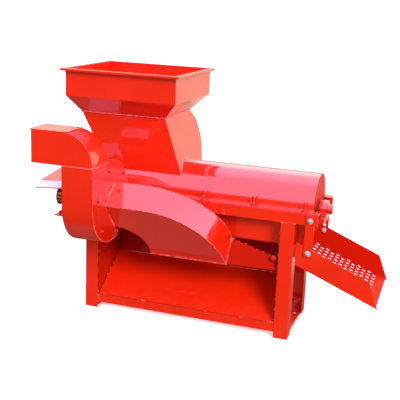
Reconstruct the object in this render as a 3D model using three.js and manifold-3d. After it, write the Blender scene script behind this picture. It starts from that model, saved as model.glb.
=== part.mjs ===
// Corn thresher with feed hopper, toothed drum, slotted concave, suction fan and cob chute.
// Millimetres, +Z up. The drum axis runs along X, the fan stands on the -Y side.

import * as THREE from 'three';
import { mergeVertices } from 'three/addons/utils/BufferGeometryUtils.js';
import Module from 'manifold-3d';

// General
const gap = 0.3;
const overrun = 30;
const sheet = 2;
const plateStock = 5;
const barWidth = 40;
const smoothSteps = 28;
const roundSteps = 32;
const smallSteps = 16;
const ductSteps = 18;

// Angle frame
const legSpan = 1000;
const frameDepth = 395;
const legSide = 63;
const legHeight = 544;
const railSide = 50;
const railOverhang = 97.5;
const baseRailSide = 42;
const baseRailTop = 68;
const footHoleBore = 20;
const footHoleSpan = 244;
const barWall = 5;
const rootRadius = 5;
const toeRadius = 3;

// Drum line, with Reach measured outwards and Inset inwards from the outer face of the legs
const drumAxisDrop = 18;
const shaftDiameter = 30;
const shaftStub = 18;
const hubDiameter = 43;
const hubLength = 22;
const barrelWall = 6;
const webMargin = 8;
const barrelLeftInset = 60;
const barrelRightInset = 80;
const toothClearance = 12;
const toothHeight = 33;
const toothWidth = 14;
const toothTipWidth = 7;
const toothLength = 26;
const toothRows = 6;
const teethPerRow = 7;
const paddleOffset = 20;
const paddleLength = 90;
const paddleHubRadius = 28;
const paddleCount = 4;

// Pillow bearings and their beams
const bearingWidth = 34;
const bearingBase = 165;
const bearingFoot = 14;
const bearingRadius = 40;
const bearingBoltSpan = 121;
const bearingBoltBore = 14;
const bearingRightReach = 90;
const beamSide = 50;
const beamRightReach = 47;
const beamLeftInset = 29;
const seatLength = 190;
const lugWidth = 35;

// Cover and casing, with Drop measured down from the top of the rails
const coverMargin = 7.5;
const coverLeftInset = 30;
const coverRightReach = 66;
const casingDrop = 166;
const slotLength = 40;
const slotWidth = 12;
const slotSpacing = 72;
const slotRows = 5;
const slotAngle = 26;

// Hopper, with Rise measured up from the top of the rails
const hopperLeftReach = 86;
const hopperLength = 531;
const hopperOverhang = 41.5;
const rimLip = 18.5;
const rimHeight = 11.5;
const bandHeight = 112.2;
const taperHeight = 77;
const taperLeftInset = 41;
const taperRightInset = 77;
const taperFrontInset = 84;
const taperBackInset = 60;
const throatRise = 348;
const throatFootRise = 87;
const throatFootLeftInset = 159;
const throatFootRightInset = 6;
const throatFrontInset = 27;
const throatHeelInset = 7;
const throatHeelRise = 46;
const throatBulge = 120;

// Fan, with the Drop of its axis measured down from the top of the rails
const fanLeftInset = 70;
const fanWidth = 142.5;
const fanRadius = 186.6;
const fanAxisDrop = 6;
const fanAxisShift = 18.4;
const scrollLift = 9;
const outletDepth = 150;
const elbowRise = 184;
const elbowReach = 73;
const tongueDrop = 40;
const topSheetLip = 12;
const topSheetOverlap = 20;
const inletPlateRadius = 166;
const inletBore = 120;
const inletBoltInset = 13;
const inletBoltBore = 9;
const inletBoltCount = 6;
const inletBoltAngle = 46;
const impellerClearance = 42;
const impellerLeftInset = 18;
const impellerRightInset = 24.5;
const impellerHubDiameter = 50;
const impellerHubLength = 50;
const bladeOverhang = 25;
const bladeCount = 6;
const fanShaftDiameter = 25;
const fanShaftStub = 8;
const shelfLength = 102;
const shelfMargin = 9;
const gussetLength = 60;
const gussetHeight = 45;
const fanBearingHeight = 69;
const fanBearingRadius = 32;
const fanBearingWidth = 72;
const fanBearingBase = 150;
const fanBearingOffset = 48;

// Belt drive
const pulleyReach = 22;
const drumPulleyRadius = 90;
const drumPulleyGrooves = 2;
const grooveDepth = 11;
const grooveWidth = 15;
const grooveSpacing = 22;
const fanPulleyRadius = 43;
const fanPulleyGrooves = 1;
const beltHeight = 8;
const beltWidth = 12;
const guardReach = 140;
const guardRightGap = 15;
const guardClearance = 22;
const guardTopFront = 30;
const guardTopRear = 60;
const guardLipShift = 59;
const guardLipRise = 30;
const guardLipDrop = 3;
const guardCreaseShift = 5;
const guardCreaseRise = 55;
const guardRearInset = 25.5;
const guardRearRise = 46;
const guardEndRise = 15;
const postReach = 66;
const postWidth = 30;

// Suction duct: the two outer edges start beside the fan axis and end at the mouth on the casing
const ductDepth = 161.5;
const ductUpperShift = 7;
const ductUpperLift = 92;
const ductLowerShift = 88;
const ductLowerLift = 3;
const mouthUpperInset = 36.5;
const mouthUpperDrop = 167;
const mouthLowerReach = 27.5;
const mouthLowerDrop = 268;
const ductUpperStraight = 134.9;
const ductUpperLength = 495.9;
const ductUpperFall = 310;
const ductLowerStraight = 174.9;
const ductLowerLength = 488.9;
const ductLowerFall = 364;
const ductInnerLength = 129.9;
const ductInnerFall = 300;
const ductLead = 5;
const ductSeam = 1.5;
const closerUpperInset = 21;
const closerUpperDrop = 227;
const closerLowerInset = 8;
const closerLowerDrop = 278;
const closerLowerDepth = 12.5;

// Grain slide
const slideFrontInset = 7.5;
const slideRearY = 47;
const slideRise = 152.7;

// Cob chute
const chuteReach = 11;
const chuteDrop = 130;
const chuteMouthHeight = 104;
const chuteTopLength = 327;
const chuteTopFall = 134;
const chuteLength = 374;
const chuteFall = 150;
const floorRise = 9;
const floorTongue = 50;
const floorMargin = 12;
const floorSlotStart = 40;
const floorSlotLength = 20;
const floorSlotWidth = 9;
const floorSpacingAlong = 54.5;
const floorSpacingAcross = 20;
const hangerReach = 66;
const hangerTopDrop = 4;
const hangerBoltDrop = 28;
const hangerBoltBore = 12;
const hangerEnd = 19;
const chutePivotDrop = 175;
const chuteSlotRise = 26;

// Places that follow from these sizes, from the frame middle, the drum axis and the floor
const halfSpan = legSpan / 2;
const halfDepth = frameDepth / 2;
const railTop = legHeight + railSide;
const innerFace = halfDepth - barWall - gap;
const bulkheadX = halfSpan - legSide;
const drumAxisZ = railTop - drumAxisDrop;
const beamRightX = halfSpan + beamRightReach;
const beamLeftX = beamLeftInset - halfSpan;
const bearingRightX = halfSpan + bearingRightReach;
const bearingLeftX = beamLeftX - beamSide / 2;
const coverRadius = halfDepth - railSide - coverMargin;
const coverLeft = coverLeftInset - halfSpan;
const coverRight = halfSpan + coverRightReach;
const coverZ = railTop + gap + sheet;
const casingOuter = halfDepth - legSide - gap;
const casingInner = casingOuter - sheet;
const casingBottom = railTop - casingDrop;
const concaveRadius = casingInner - gap;
const toothTipRadius = concaveRadius - sheet - toothClearance;
const barrelRadius = toothTipRadius - toothHeight;
const barrelLeft = barrelLeftInset - halfSpan;
const barrelRight = halfSpan - barrelRightInset;
const fanLeft = fanLeftInset - halfSpan;
const fanRight = fanLeft + fanWidth;
const scrollY = -halfDepth - gap - fanRadius;
const fanAxisY = scrollY + fanAxisShift;
const fanAxisZ = railTop - fanAxisDrop;
const scrollZ = fanAxisZ + scrollLift;
const outletFront = scrollY - fanRadius;
const outletBack = outletFront + outletDepth;
const elbowZ = fanAxisZ + elbowRise;
const elbowEnd = -halfSpan - elbowReach;
const pulleyRight = -halfSpan - pulleyReach;
const guardLeft = -halfSpan - guardReach;
const bandLeft = -halfSpan - hopperLeftReach;
const bandRight = bandLeft + hopperLength;
const bandBack = halfDepth + hopperOverhang;
const taperBottom = railTop + throatRise;
const bandBottom = taperBottom + taperHeight;
const bandTop = bandBottom + bandHeight;
const rimBack = bandBack + rimLip;
const hangerBoltX = halfSpan + hangerReach;
const hangerBoltZ = railTop - hangerBoltDrop;
const chutePivotZ = railTop - chutePivotDrop;
const chuteStart = halfSpan + chuteReach;
const chuteEndX = chuteStart + chuteLength;

const red = new THREE.MeshStandardMaterial({ color: 0xe22a14, roughness: 0.3, metalness: 0 });
const steel = new THREE.MeshStandardMaterial({ color: 0x9a9a96, roughness: 0.35, metalness: 1 });
const castIron = new THREE.MeshStandardMaterial({ color: 0x3a4048, roughness: 0.55, metalness: 0.6 });
const rubber = new THREE.MeshStandardMaterial({ color: 0x181818, roughness: 0.85, metalness: 0 });

const wasm = await Module();
wasm.setup();

const solidOf = (geometry) => {
  const bare = geometry.clone();
  bare.deleteAttribute('normal');
  bare.deleteAttribute('uv');
  const merged = mergeVertices(bare);
  return new wasm.Manifold(new wasm.Mesh({
    numProp: 3,
    vertProperties: new Float32Array(merged.attributes.position.array),
    triVerts: new Uint32Array(merged.index.array),
  }));
};

const geometryOf = (solid) => {
  const data = solid.getMesh();
  const geometry = new THREE.BufferGeometry();
  geometry.setAttribute('position', new THREE.BufferAttribute(new Float32Array(data.vertProperties), 3));
  geometry.setIndex(new THREE.BufferAttribute(new Uint32Array(data.triVerts), 1));
  geometry.computeVertexNormals();
  return geometry;
};

const cut = (body, ...tools) => geometryOf(
  tools.reduce((left, tool) => left.subtract(solidOf(tool)), solidOf(body)),
);
const join = (body, ...others) => geometryOf(
  others.reduce((sum, other) => sum.add(solidOf(other)), solidOf(body)),
);
const common = (body, ...others) => geometryOf(
  others.reduce((rest, other) => rest.intersect(solidOf(other)), solidOf(body)),
);

const radians = THREE.MathUtils.degToRad;

const shapeOf = (points, holes = []) => {
  const shape = new THREE.Shape(points.map(([a, b]) => new THREE.Vector2(a, b)));
  holes.forEach((hole) => shape.holes.push(new THREE.Path(hole.map(([a, b]) => new THREE.Vector2(a, b)))));
  return shape;
};

// Prisms of a flat outline: along X from [y, z], along Y from [x, z], along Z from [x, y].
const prism = (points, holes, from, to, axisA, axisB, axisC) => {
  const settings = { depth: to - from, bevelEnabled: false };
  const geometry = new THREE.ExtrudeGeometry(shapeOf(points, holes), settings);
  geometry.translate(0, 0, from);
  return geometry.applyMatrix4(new THREE.Matrix4().makeBasis(axisA, axisB, axisC));
};
const unitX = new THREE.Vector3(1, 0, 0);
const unitY = new THREE.Vector3(0, 1, 0);
const unitZ = new THREE.Vector3(0, 0, 1);
const minusY = new THREE.Vector3(0, -1, 0);
const prismX = (points, from, to, holes = []) => prism(points, holes, from, to, unitY, unitZ, unitX);
const prismY = (points, from, to, holes = []) => prism(points, holes, -to, -from, unitX, unitZ, minusY);
const prismZ = (points, from, to, holes = []) => prism(points, holes, from, to, unitX, unitY, unitZ);

const rectangle = (a0, b0, a1, b1) => [[a0, b0], [a1, b0], [a1, b1], [a0, b1]];

const arc = (a, b, radius, startDeg, endDeg, steps) => Array.from({ length: steps + 1 }, (_, i) => {
  const turn = radians(startDeg + (endDeg - startDeg) * i / steps);
  return [a + radius * Math.cos(turn), b + radius * Math.sin(turn)];
});
const circle = (a, b, radius, steps) => arc(a, b, radius, 0, 360, steps).slice(0, steps);

const slotOutline = (a, b, halfLength, halfWidth) => [
  [a - halfLength, b],
  [a - halfLength + halfWidth, b - halfWidth],
  [a + halfLength - halfWidth, b - halfWidth],
  [a + halfLength, b],
  [a + halfLength - halfWidth, b + halfWidth],
  [a - halfLength + halfWidth, b + halfWidth],
];

// Rolled angle section with its heel at the origin and both flanges in the positive quarter.
const angleOutline = (side, wall) => [
  [0, 0],
  [side, 0],
  ...arc(side - toeRadius, wall - toeRadius, toeRadius, 0, 90, 2),
  ...arc(wall + rootRadius, wall + rootRadius, rootRadius, 270, 180, 3),
  ...arc(wall - toeRadius, side - toeRadius, toeRadius, 0, 90, 2),
  [0, side],
];
const placed = (points, scaleA, scaleB, a, b) => points.map(([p, q]) => [a + scaleA * p, b + scaleB * q]);

// Sheet of even thickness whose outer face follows a polyline; the thickness lies to its right.
const band = (line, thickness) => {
  const inner = line.map((point, i) => {
    const before = line[Math.max(i - 1, 0)];
    const after = line[Math.min(i + 1, line.length - 1)];
    const into = new THREE.Vector2(point[0] - before[0], point[1] - before[1]).normalize();
    const out = new THREE.Vector2(after[0] - point[0], after[1] - point[1]).normalize();
    const along = i === 0 ? out : i === line.length - 1 ? into : into.clone().add(out).normalize();
    const stretch = i === 0 || i === line.length - 1 ? 1 : 1 / along.dot(into);
    return [point[0] + along.y * thickness * stretch, point[1] - along.x * thickness * stretch];
  });
  return [...line, ...inner.reverse()];
};

// Closed skin through sections with the same number of points.
const skin = (sections) => {
  const count = sections[0].length;
  const index = [];
  for (let i = 0; i < sections.length - 1; i += 1) {
    for (let j = 0; j < count; j += 1) {
      const a = i * count + j;
      const b = i * count + (j + 1) % count;
      index.push(a, b, b + count, a, b + count, a + count);
    }
  }
  const last = (sections.length - 1) * count;
  for (let j = 1; j < count - 1; j += 1) {
    index.push(0, j + 1, j);
    index.push(last, last + j, last + j + 1);
  }
  const points = sections.flat();
  const volume = index.reduce((sum, _, k) => (k % 3 ? sum : sum
    + points[index[k]].dot(points[index[k + 1]].clone().cross(points[index[k + 2]]))), 0);
  if (volume < 0) index.reverse();
  const geometry = new THREE.BufferGeometry().setFromPoints(points);
  geometry.setIndex(index);
  geometry.computeVertexNormals();
  return geometry;
};

const turned = (profile, axisY, axisZ) => {
  const points = profile.map(([along, radius]) => new THREE.Vector2(radius, along));
  const geometry = new THREE.LatheGeometry([...points, points[0]].reverse(), roundSteps);
  geometry.applyMatrix4(new THREE.Matrix4().makeBasis(unitZ, unitX, unitY));
  return geometry.translate(0, axisY, axisZ);
};

// The part's origin lies on the floor under the middle of the whole machine
const group = new THREE.Group();
group.name = 'corn_thresher';
const originX = (guardLeft + chuteEndX) / 2;
const originY = (outletFront + rimBack) / 2;
const addPiece = (parent, name, geometry, paint) => {
  const piece = new THREE.Mesh(geometry.translate(-originX, -originY, 0), paint.clone());
  piece.name = name;
  parent.add(piece);
};
const addGroup = (name) => {
  const child = new THREE.Group();
  child.name = name;
  group.add(child);
  return child;
};

// Frame of welded angle bars
const frame = addGroup('frame');
const railReach = halfSpan + railOverhang;
const sides = [['left', -1], ['right', 1]];
const faces = [['front', -1], ['rear', 1]];
faces.forEach(([faceName, face]) => {
  sides.forEach(([sideName, side]) => {
    const outline = placed(angleOutline(legSide, barWall), -side, -face, side * halfSpan, face * halfDepth);
    addPiece(frame, `leg_${faceName}_${sideName}`, prismZ(outline, 0, legHeight - gap), red);
  });
  const topOutline = placed(angleOutline(railSide, barWall), -face, -1, face * halfDepth, railTop);
  const topRail = prismX(topOutline, -railReach, railReach);
  const boltHole = prismY(circle(hangerBoltX, hangerBoltZ, hangerBoltBore / 2, smallSteps),
    face * halfDepth - overrun, face * halfDepth + overrun);
  addPiece(frame, `top_rail_${faceName}`, cut(topRail, boltHole), red);
  const lowOutline = placed(angleOutline(baseRailSide, barWall), -face, -1, face * innerFace, baseRailTop);
  const lowReach = halfSpan - barWall - rootRadius;
  addPiece(frame, `low_rail_${faceName}`, prismX(lowOutline, -lowReach, lowReach), red);
});
sides.forEach(([sideName, side]) => {
  const heel = halfSpan - barWall - gap - railSide;
  const reach = innerFace - barWall - gap;
  const foot = prismY(placed(angleOutline(railSide, barWall), side, 1, side * heel, 0), -reach, reach);
  const holeX = side * (heel + railSide / 2);
  const holes = [-1, 1].map((end) => prismZ(
    circle(holeX, end * footHoleSpan / 2, footHoleBore / 2, smallSteps), -overrun, overrun,
  ));
  addPiece(frame, `foot_bar_${sideName}`, cut(foot, ...holes), red);
});

// Beams under the drum bearings
const seatZ = drumAxisZ - bearingRadius - gap - plateStock / 2;
const rightWeb = prismX(rectangle(-innerFace, seatZ - beamSide, innerFace, seatZ),
  beamRightX, beamRightX + barWall);
const rightSeat = prismX(rectangle(-seatLength / 2, seatZ - barWall, seatLength / 2, seatZ),
  beamRightX, bearingRightX + bearingWidth / 2);
const lugs = faces.map(([, face]) => prismX(
  rectangle(face * innerFace, seatZ - beamSide, face * (innerFace - barWall), railTop - barWall - rootRadius),
  beamRightX, beamRightX + lugWidth,
));
addPiece(frame, 'bearing_beam_right', join(rightWeb, rightSeat, ...lugs), red);
const leftReach = halfDepth - legSide - gap;
addPiece(frame, 'bearing_beam_left', prismY(
  placed(angleOutline(beamSide, barWall), -1, -1, beamLeftX, seatZ), -leftReach, leftReach,
), red);

// Half-round cover bolted on the top rails
const cover = addGroup('cover');
const coverFlange = halfDepth - coverMargin;
const coverInner = coverRadius - sheet;
const coverProfile = [
  [-coverFlange, coverZ - sheet],
  [-coverInner, coverZ - sheet],
  ...arc(0, coverZ, coverInner, 180, 0, smoothSteps),
  [coverInner, coverZ - sheet],
  [coverFlange, coverZ - sheet],
  [coverFlange, coverZ],
  ...arc(0, coverZ, coverRadius, 0, 180, smoothSteps),
  [-coverFlange, coverZ],
];
const taperLeft = bandLeft + taperLeftInset;
const taperRight = bandRight - taperRightInset;
const taperFront = taperFrontInset - bandBack;
const taperBack = bandBack - taperBackInset;
const throatFootZ = railTop + throatFootRise;
const throatFootLeft = bandLeft + throatFootLeftInset;
const throatFootRight = bandRight - throatFootRightInset;
const throatFootFront = throatFrontInset - coverRadius;
const throatHeelY = coverRadius - throatHeelInset;
const leftLean = (taperLeft - throatFootLeft) / (taperBottom - throatFootZ);
const rightLean = (taperRight - throatFootRight) / (taperBottom - throatFootZ);
const wedge = (inset) => {
  const low = coverZ;
  const high = taperBottom - gap;
  return [
    [throatFootLeft + leftLean * (low - throatFootZ) + inset, low],
    [throatFootRight + rightLean * (low - throatFootZ) - inset, low],
    [throatFootRight + rightLean * (high - throatFootZ) - inset, high],
    [throatFootLeft + leftLean * (high - throatFootZ) + inset, high],
  ];
};
const feedHole = prismY(wedge(sheet + gap), throatFootFront + sheet, throatHeelY - sheet);
addPiece(cover, 'drum_cover', cut(prismX(coverProfile, coverLeft, coverRight), feedHole), red);
const endOutline = [
  [-coverInner + gap, coverZ - sheet],
  [coverInner - gap, coverZ - sheet],
  ...arc(0, coverZ, coverInner - gap, 0, 180, smoothSteps),
];
addPiece(cover, 'cover_end_left', prismX(endOutline, coverLeft, coverLeft + sheet), red);
addPiece(cover, 'cover_end_right', prismX(endOutline, coverRight - sheet, coverRight), red);

// Casing around the lower half of the drum
const casing = addGroup('casing');
const casingLip = halfDepth - railSide - gap;
const casingTop = railTop - gap;
const casingRight = beamRightX - gap;
faces.forEach(([faceName, face]) => {
  const profile = [
    [face * casingInner, casingBottom],
    [face * casingOuter, casingBottom],
    [face * casingOuter, casingTop - sheet],
    [face * casingLip, casingTop - sheet],
    [face * casingLip, casingTop],
    [face * casingInner, casingTop],
  ];
  const wall = prismX(profile, coverLeft + sheet + gap, casingRight);
  addPiece(casing, `casing_side_${faceName}`, wall, red);
});
const shaftNotch = prismX([
  ...arc(0, drumAxisZ, shaftDiameter / 2 + barWall, 180, 360, smallSteps),
  [shaftDiameter / 2 + barWall, casingTop + overrun],
  [-shaftDiameter / 2 - barWall, casingTop + overrun],
], coverLeft - overrun, beamRightX + overrun);
const leftEnd = prismX(rectangle(-casingOuter, casingBottom, casingOuter, casingTop),
  coverLeft, coverLeft + sheet);
addPiece(casing, 'casing_end_left', cut(leftEnd, shaftNotch), red);
const rightEnd = prismX(rectangle(-casingOuter, seatZ + gap, casingOuter, casingTop),
  beamRightX, beamRightX + sheet);
addPiece(casing, 'casing_end_right', cut(rightEnd, shaftNotch), red);

// Slotted half-round concave: radial slots at an even pitch, every second row moved by half a pitch
const concaveProfile = [
  ...arc(0, drumAxisZ, concaveRadius, 180, 360, smoothSteps),
  ...arc(0, drumAxisZ, concaveRadius - sheet, 360, 180, smoothSteps),
];
const concaveLeft = coverLeft + sheet + gap;
const concaveRight = bulkheadX - plateStock;
const slotColumns = Math.floor((concaveRight - concaveLeft - slotLength) / slotSpacing);
const slotTools = [];
for (let row = 0; row < slotRows; row += 1) {
  const turn = radians((row - (slotRows - 1) / 2) * slotAngle);
  const stagger = row % 2 ? slotSpacing / 2 : 0;
  const columns = row % 2 ? slotColumns - 1 : slotColumns;
  for (let column = 0; column < columns; column += 1) {
    const start = concaveLeft + slotSpacing + stagger + column * slotSpacing;
    const tool = prismZ(rectangle(start, -slotWidth / 2, start + slotLength, slotWidth / 2),
      -concaveRadius - overrun, -concaveRadius + overrun);
    slotTools.push(tool.rotateX(turn).translate(0, 0, drumAxisZ));
  }
}
const concave = prismX(concaveProfile, concaveLeft, concaveRight);
addPiece(casing, 'slotted_concave', cut(concave, ...slotTools), red);

// Grain hopper under the concave, open to the front above the slide
const grain = addGroup('grain_hopper');
const bulkheadInner = bulkheadX - gap - sheet;
const slideWidth = bulkheadInner - gap;
const slideFrontY = slideFrontInset - halfDepth;
const slideFrontZ = baseRailTop + gap + sheet;
const slideRearZ = slideFrontZ + slideRise;
const slide = [[slideFrontY, slideFrontZ], [slideRearY, slideRearZ]];
addPiece(grain, 'slide_plate', prismX(band(slide, sheet), -slideWidth, slideWidth), red);
const funnel = [[slideRearY + gap * 2, slideRearZ], [casingOuter - gap, casingBottom - gap]];
addPiece(grain, 'funnel_plate', prismX(band(funnel, sheet), -slideWidth, slideWidth), red);
const bulkhead = [
  [slideFrontY, slideFrontZ],
  [slideRearY, slideRearZ],
  [casingOuter - gap, casingBottom - gap],
  [-casingOuter - gap, casingBottom - gap],
  [-casingOuter - gap, legHeight - gap],
  [slideFrontY, legHeight - gap],
];
sides.forEach(([sideName, side]) => {
  const near = side < 0 ? -bulkheadX + gap : bulkheadInner;
  addPiece(grain, `bulkhead_${sideName}`, prismX(bulkhead, near, near + sheet), red);
});

// Toothed drum on its shaft
const drum = addGroup('drum');
const grooveSpan = grooveSpacing * drumPulleyGrooves;
const shaftLeft = pulleyRight - grooveSpan - shaftStub;
const shaftRight = bearingRightX + bearingWidth / 2;
addPiece(drum, 'drum_shaft', prismX(circle(0, drumAxisZ, shaftDiameter / 2, roundSteps),
  shaftLeft, shaftRight), steel);
const bore = circle(0, drumAxisZ, shaftDiameter / 2 + gap, roundSteps);
const tube = prismX(circle(0, drumAxisZ, barrelRadius, roundSteps), barrelLeft, barrelRight,
  [circle(0, drumAxisZ, barrelRadius - barrelWall, roundSteps)]);
const lightening = [0, 1, 2, 3].map((k) => {
  const turn = radians(k * 90);
  const reach = (barrelRadius - barrelWall + shaftDiameter / 2) / 2;
  const holeRadius = (barrelRadius - barrelWall - shaftDiameter / 2) / 2 - webMargin;
  return circle(reach * Math.cos(turn), drumAxisZ + reach * Math.sin(turn), holeRadius, smallSteps);
});
const barrelRim = circle(0, drumAxisZ, barrelRadius - barrelWall / 2, roundSteps);
const discs = [barrelLeft, barrelRight - barrelWall].map(
  (x) => prismX(barrelRim, x, x + barrelWall, [bore, ...lightening]),
);
const teeth = [];
for (let row = 0; row < toothRows; row += 1) {
  for (let k = 0; k < teethPerRow; k += 1) {
    const pitch = (barrelRight - barrelLeft - toothLength) / (teethPerRow - 1 / 2);
    const x = barrelLeft + (k + (row % 2) / 2) * pitch;
    const tooth = prismX([
      [-toothWidth / 2, barrelRadius - barrelWall / 2],
      [toothWidth / 2, barrelRadius - barrelWall / 2],
      [toothTipWidth / 2, toothTipRadius],
      [-toothTipWidth / 2, toothTipRadius],
    ], x, x + toothLength);
    teeth.push(tooth.rotateX(radians(360 * row / toothRows))
      .translate(0, 0, drumAxisZ));
  }
}
addPiece(drum, 'drum_barrel', join(tube, ...discs, ...teeth), red);
const paddleLeft = barrelRight + paddleOffset;
const paddleRight = paddleLeft + paddleLength;
const paddleHub = prismX(circle(0, drumAxisZ, paddleHubRadius, roundSteps), paddleLeft, paddleRight, [bore]);
const paddles = Array.from({ length: paddleCount }, (_, k) => prismX(
  rectangle(-plateStock / 2, paddleHubRadius - plateStock, plateStock / 2, toothTipRadius),
  paddleLeft, paddleRight,
).rotateX(radians(360 * k / paddleCount)).translate(0, 0, drumAxisZ));
addPiece(drum, 'cob_paddles', join(paddleHub, ...paddles), red);
addPiece(drum, 'drum_end_hub', prismX(circle(0, drumAxisZ, hubDiameter / 2, roundSteps),
  shaftRight + gap, shaftRight + gap + hubLength), red);
const pillowBlock = (x, y, axisZ, seat, radius, boreRadius, width, base) => {
  const body = prismX([
    [y - base / 2, seat],
    [y + base / 2, seat],
    [y + base / 2, seat + bearingFoot],
    [y + radius, seat + bearingFoot],
    ...arc(y, axisZ, radius, 0, 180, smoothSteps),
    [y - radius, seat + bearingFoot],
    [y - base / 2, seat + bearingFoot],
  ], x - width / 2, x + width / 2, [circle(y, axisZ, boreRadius, roundSteps)]);
  const holes = [-1, 1].map((end) => prismZ(
    circle(x, y + end * base * bearingBoltSpan / bearingBase / 2, bearingBoltBore / 2, smallSteps),
    seat - overrun, seat + bearingFoot + overrun,
  ));
  return cut(body, ...holes);
};
[['left', bearingLeftX], ['right', bearingRightX]].forEach(([sideName, x]) => {
  addPiece(drum, `drum_bearing_${sideName}`, pillowBlock(x, 0, drumAxisZ, seatZ + gap, bearingRadius,
    shaftDiameter / 2 + gap, bearingWidth, bearingBase), red);
});

// Belt drive: two-groove drum pulley, fan pulley, belt and bent guard sheet
const drive = addGroup('drive');
const grooved = (right, radius, grooveCount, boreRadius) => {
  const profile = [[right, boreRadius], [right, radius]];
  for (let k = 0; k < grooveCount; k += 1) {
    const centre = right - grooveSpacing * (k + 1 / 2);
    profile.push([centre + grooveWidth / 2, radius]);
    profile.push([centre + beltWidth / 2 + gap, radius - grooveDepth]);
    profile.push([centre - beltWidth / 2 - gap, radius - grooveDepth]);
    profile.push([centre - grooveWidth / 2, radius]);
  }
  const left = right - grooveSpacing * grooveCount;
  profile.push([left, radius], [left, boreRadius]);
  return profile;
};
addPiece(drive, 'drum_pulley', turned(
  grooved(pulleyRight, drumPulleyRadius, drumPulleyGrooves, shaftDiameter / 2 + gap), 0, drumAxisZ,
), castIron);
addPiece(drive, 'fan_pulley', turned(
  grooved(pulleyRight, fanPulleyRadius, fanPulleyGrooves, fanShaftDiameter / 2 + gap), fanAxisY, fanAxisZ,
), castIron);
const loop = (lift) => {
  const big = drumPulleyRadius - grooveDepth + gap + lift;
  const small = fanPulleyRadius - grooveDepth + gap + lift;
  const span = Math.hypot(fanAxisY, fanAxisZ - drumAxisZ);
  const heading = THREE.MathUtils.radToDeg(Math.atan2(fanAxisZ - drumAxisZ, fanAxisY));
  const tangent = THREE.MathUtils.radToDeg(Math.acos((big - small) / span));
  return [
    ...arc(0, drumAxisZ, big, heading + tangent, heading + 360 - tangent, smoothSteps),
    ...arc(fanAxisY, fanAxisZ, small, heading - tangent, heading + tangent, smallSteps),
  ];
};
const beltMiddle = pulleyRight - grooveSpacing / 2;
addPiece(drive, 'fan_belt', prismX(loop(beltHeight),
  beltMiddle - beltWidth / 2, beltMiddle + beltWidth / 2, [loop(0)]), rubber);
const guardRight = fanLeft - guardRightGap;
const guardLipY = fanAxisY - guardLipShift;
const guardLipZ = railTop + guardLipRise;
const guardCreaseY = fanAxisY - guardCreaseShift;
const guardCreaseZ = railTop + guardCreaseRise;
const guardTopZ = drumAxisZ + drumPulleyRadius + guardClearance;
const guardRearY = halfDepth - guardRearInset;
const guardRearZ = railTop + guardRearRise;
const guardLine = [
  [guardLipY, guardLipZ - guardLipDrop],
  [guardLipY, guardLipZ],
  [guardCreaseY, guardCreaseZ],
  [-guardTopFront, guardTopZ],
  [guardTopRear, guardTopZ],
  [guardRearY, guardRearZ],
  [guardRearY, guardRearZ - guardLipDrop],
];
const guardNotch = prismX(rectangle(-halfDepth, casingBottom, halfDepth, elbowZ),
  coverLeft - sheet, guardRight + overrun);
const postRight = -halfSpan - postReach;
const guardTilt = guardEndRise / (guardRight - guardLeft);
const postFoot = railTop + gap;
const postLift = guardTilt * (postRight - postWidth - guardLeft);
const postInset = halfDepth - railSide / 2;
const guardSlope = (guardTopZ - guardCreaseZ) / (-guardTopFront - guardCreaseY);
const guardAt = (y) => guardCreaseZ + (y - guardCreaseY) * guardSlope;
const posts = [
  rectangle(-postInset - plateStock, postFoot, -postInset, guardAt(-postInset) - sheet / 2 + postLift),
  rectangle(guardRearY - plateStock - sheet, postFoot, guardRearY - sheet / 2, guardRearZ - sheet + postLift),
].map((outline) => prismX(outline, postRight - postWidth, postRight));
const guardSheet = cut(prismX(band(guardLine, sheet), guardLeft, guardRight), guardNotch);
guardSheet.applyMatrix4(new THREE.Matrix4().makeShear(0, guardTilt, 0, 0, 0, 0));
guardSheet.translate(0, 0, -guardTilt * guardLeft);
addPiece(drive, 'belt_guard', join(guardSheet, ...posts), red);

// Suction fan: round housing with an upright outlet and a quarter-turn elbow
const fan = addGroup('fan');
const tongueTurn = THREE.MathUtils.radToDeg(Math.acos((outletBack + gap - scrollY) / fanRadius));
const scrollLine = [
  [outletFront, elbowZ],
  ...arc(scrollY, scrollZ, fanRadius, -180, tongueTurn, roundSteps),
];
const scrollOutline = [...scrollLine, [outletBack + gap, elbowZ]];
const ductUpper = new THREE.Vector2(fanAxisY + ductUpperShift, fanAxisZ + ductUpperLift);
const ductLower = new THREE.Vector2(fanAxisY - ductLowerShift, fanAxisZ + ductLowerLift);
const mouthUpper = new THREE.Vector2(mouthUpperInset - halfDepth, railTop - mouthUpperDrop);
const mouthLower = new THREE.Vector2(-halfDepth - mouthLowerReach, railTop - mouthLowerDrop);
const ductMiddle = ductUpper.clone().lerp(ductLower, 1 / 2);
const mouthMiddle = mouthUpper.clone().lerp(mouthLower, 1 / 2);
const eyeCentre = mouthMiddle.clone().sub(ductMiddle).setLength(ductDepth / 2).add(ductMiddle);
const eye = circle(eyeCentre.x, eyeCentre.y, inletBore / 2, roundSteps);
addPiece(fan, 'fan_side_right', prismX(scrollOutline, fanRight - sheet, fanRight, [eye]), red);
const fanBore = circle(fanAxisY, fanAxisZ, fanShaftDiameter / 2 + plateStock, smoothSteps);
addPiece(fan, 'fan_side_left', prismX(scrollOutline, fanLeft, fanLeft + sheet, [fanBore]), red);
const innerLeft = fanLeft + sheet + gap;
const innerRight = fanRight - sheet - gap;
addPiece(fan, 'fan_scroll', prismX(band(scrollLine, -sheet), innerLeft, innerRight), red);
const inletRim = circle(fanAxisY, fanAxisZ, inletPlateRadius, roundSteps);
const inletBoltRadius = inletPlateRadius - inletBoltInset;
const boltHoles = Array.from({ length: inletBoltCount }, (_, k) => {
  const turn = radians(inletBoltAngle + 360 * k / inletBoltCount);
  return circle(fanAxisY + inletBoltRadius * Math.cos(turn),
    fanAxisZ + inletBoltRadius * Math.sin(turn), inletBoltBore / 2, smallSteps / 2);
});
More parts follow.
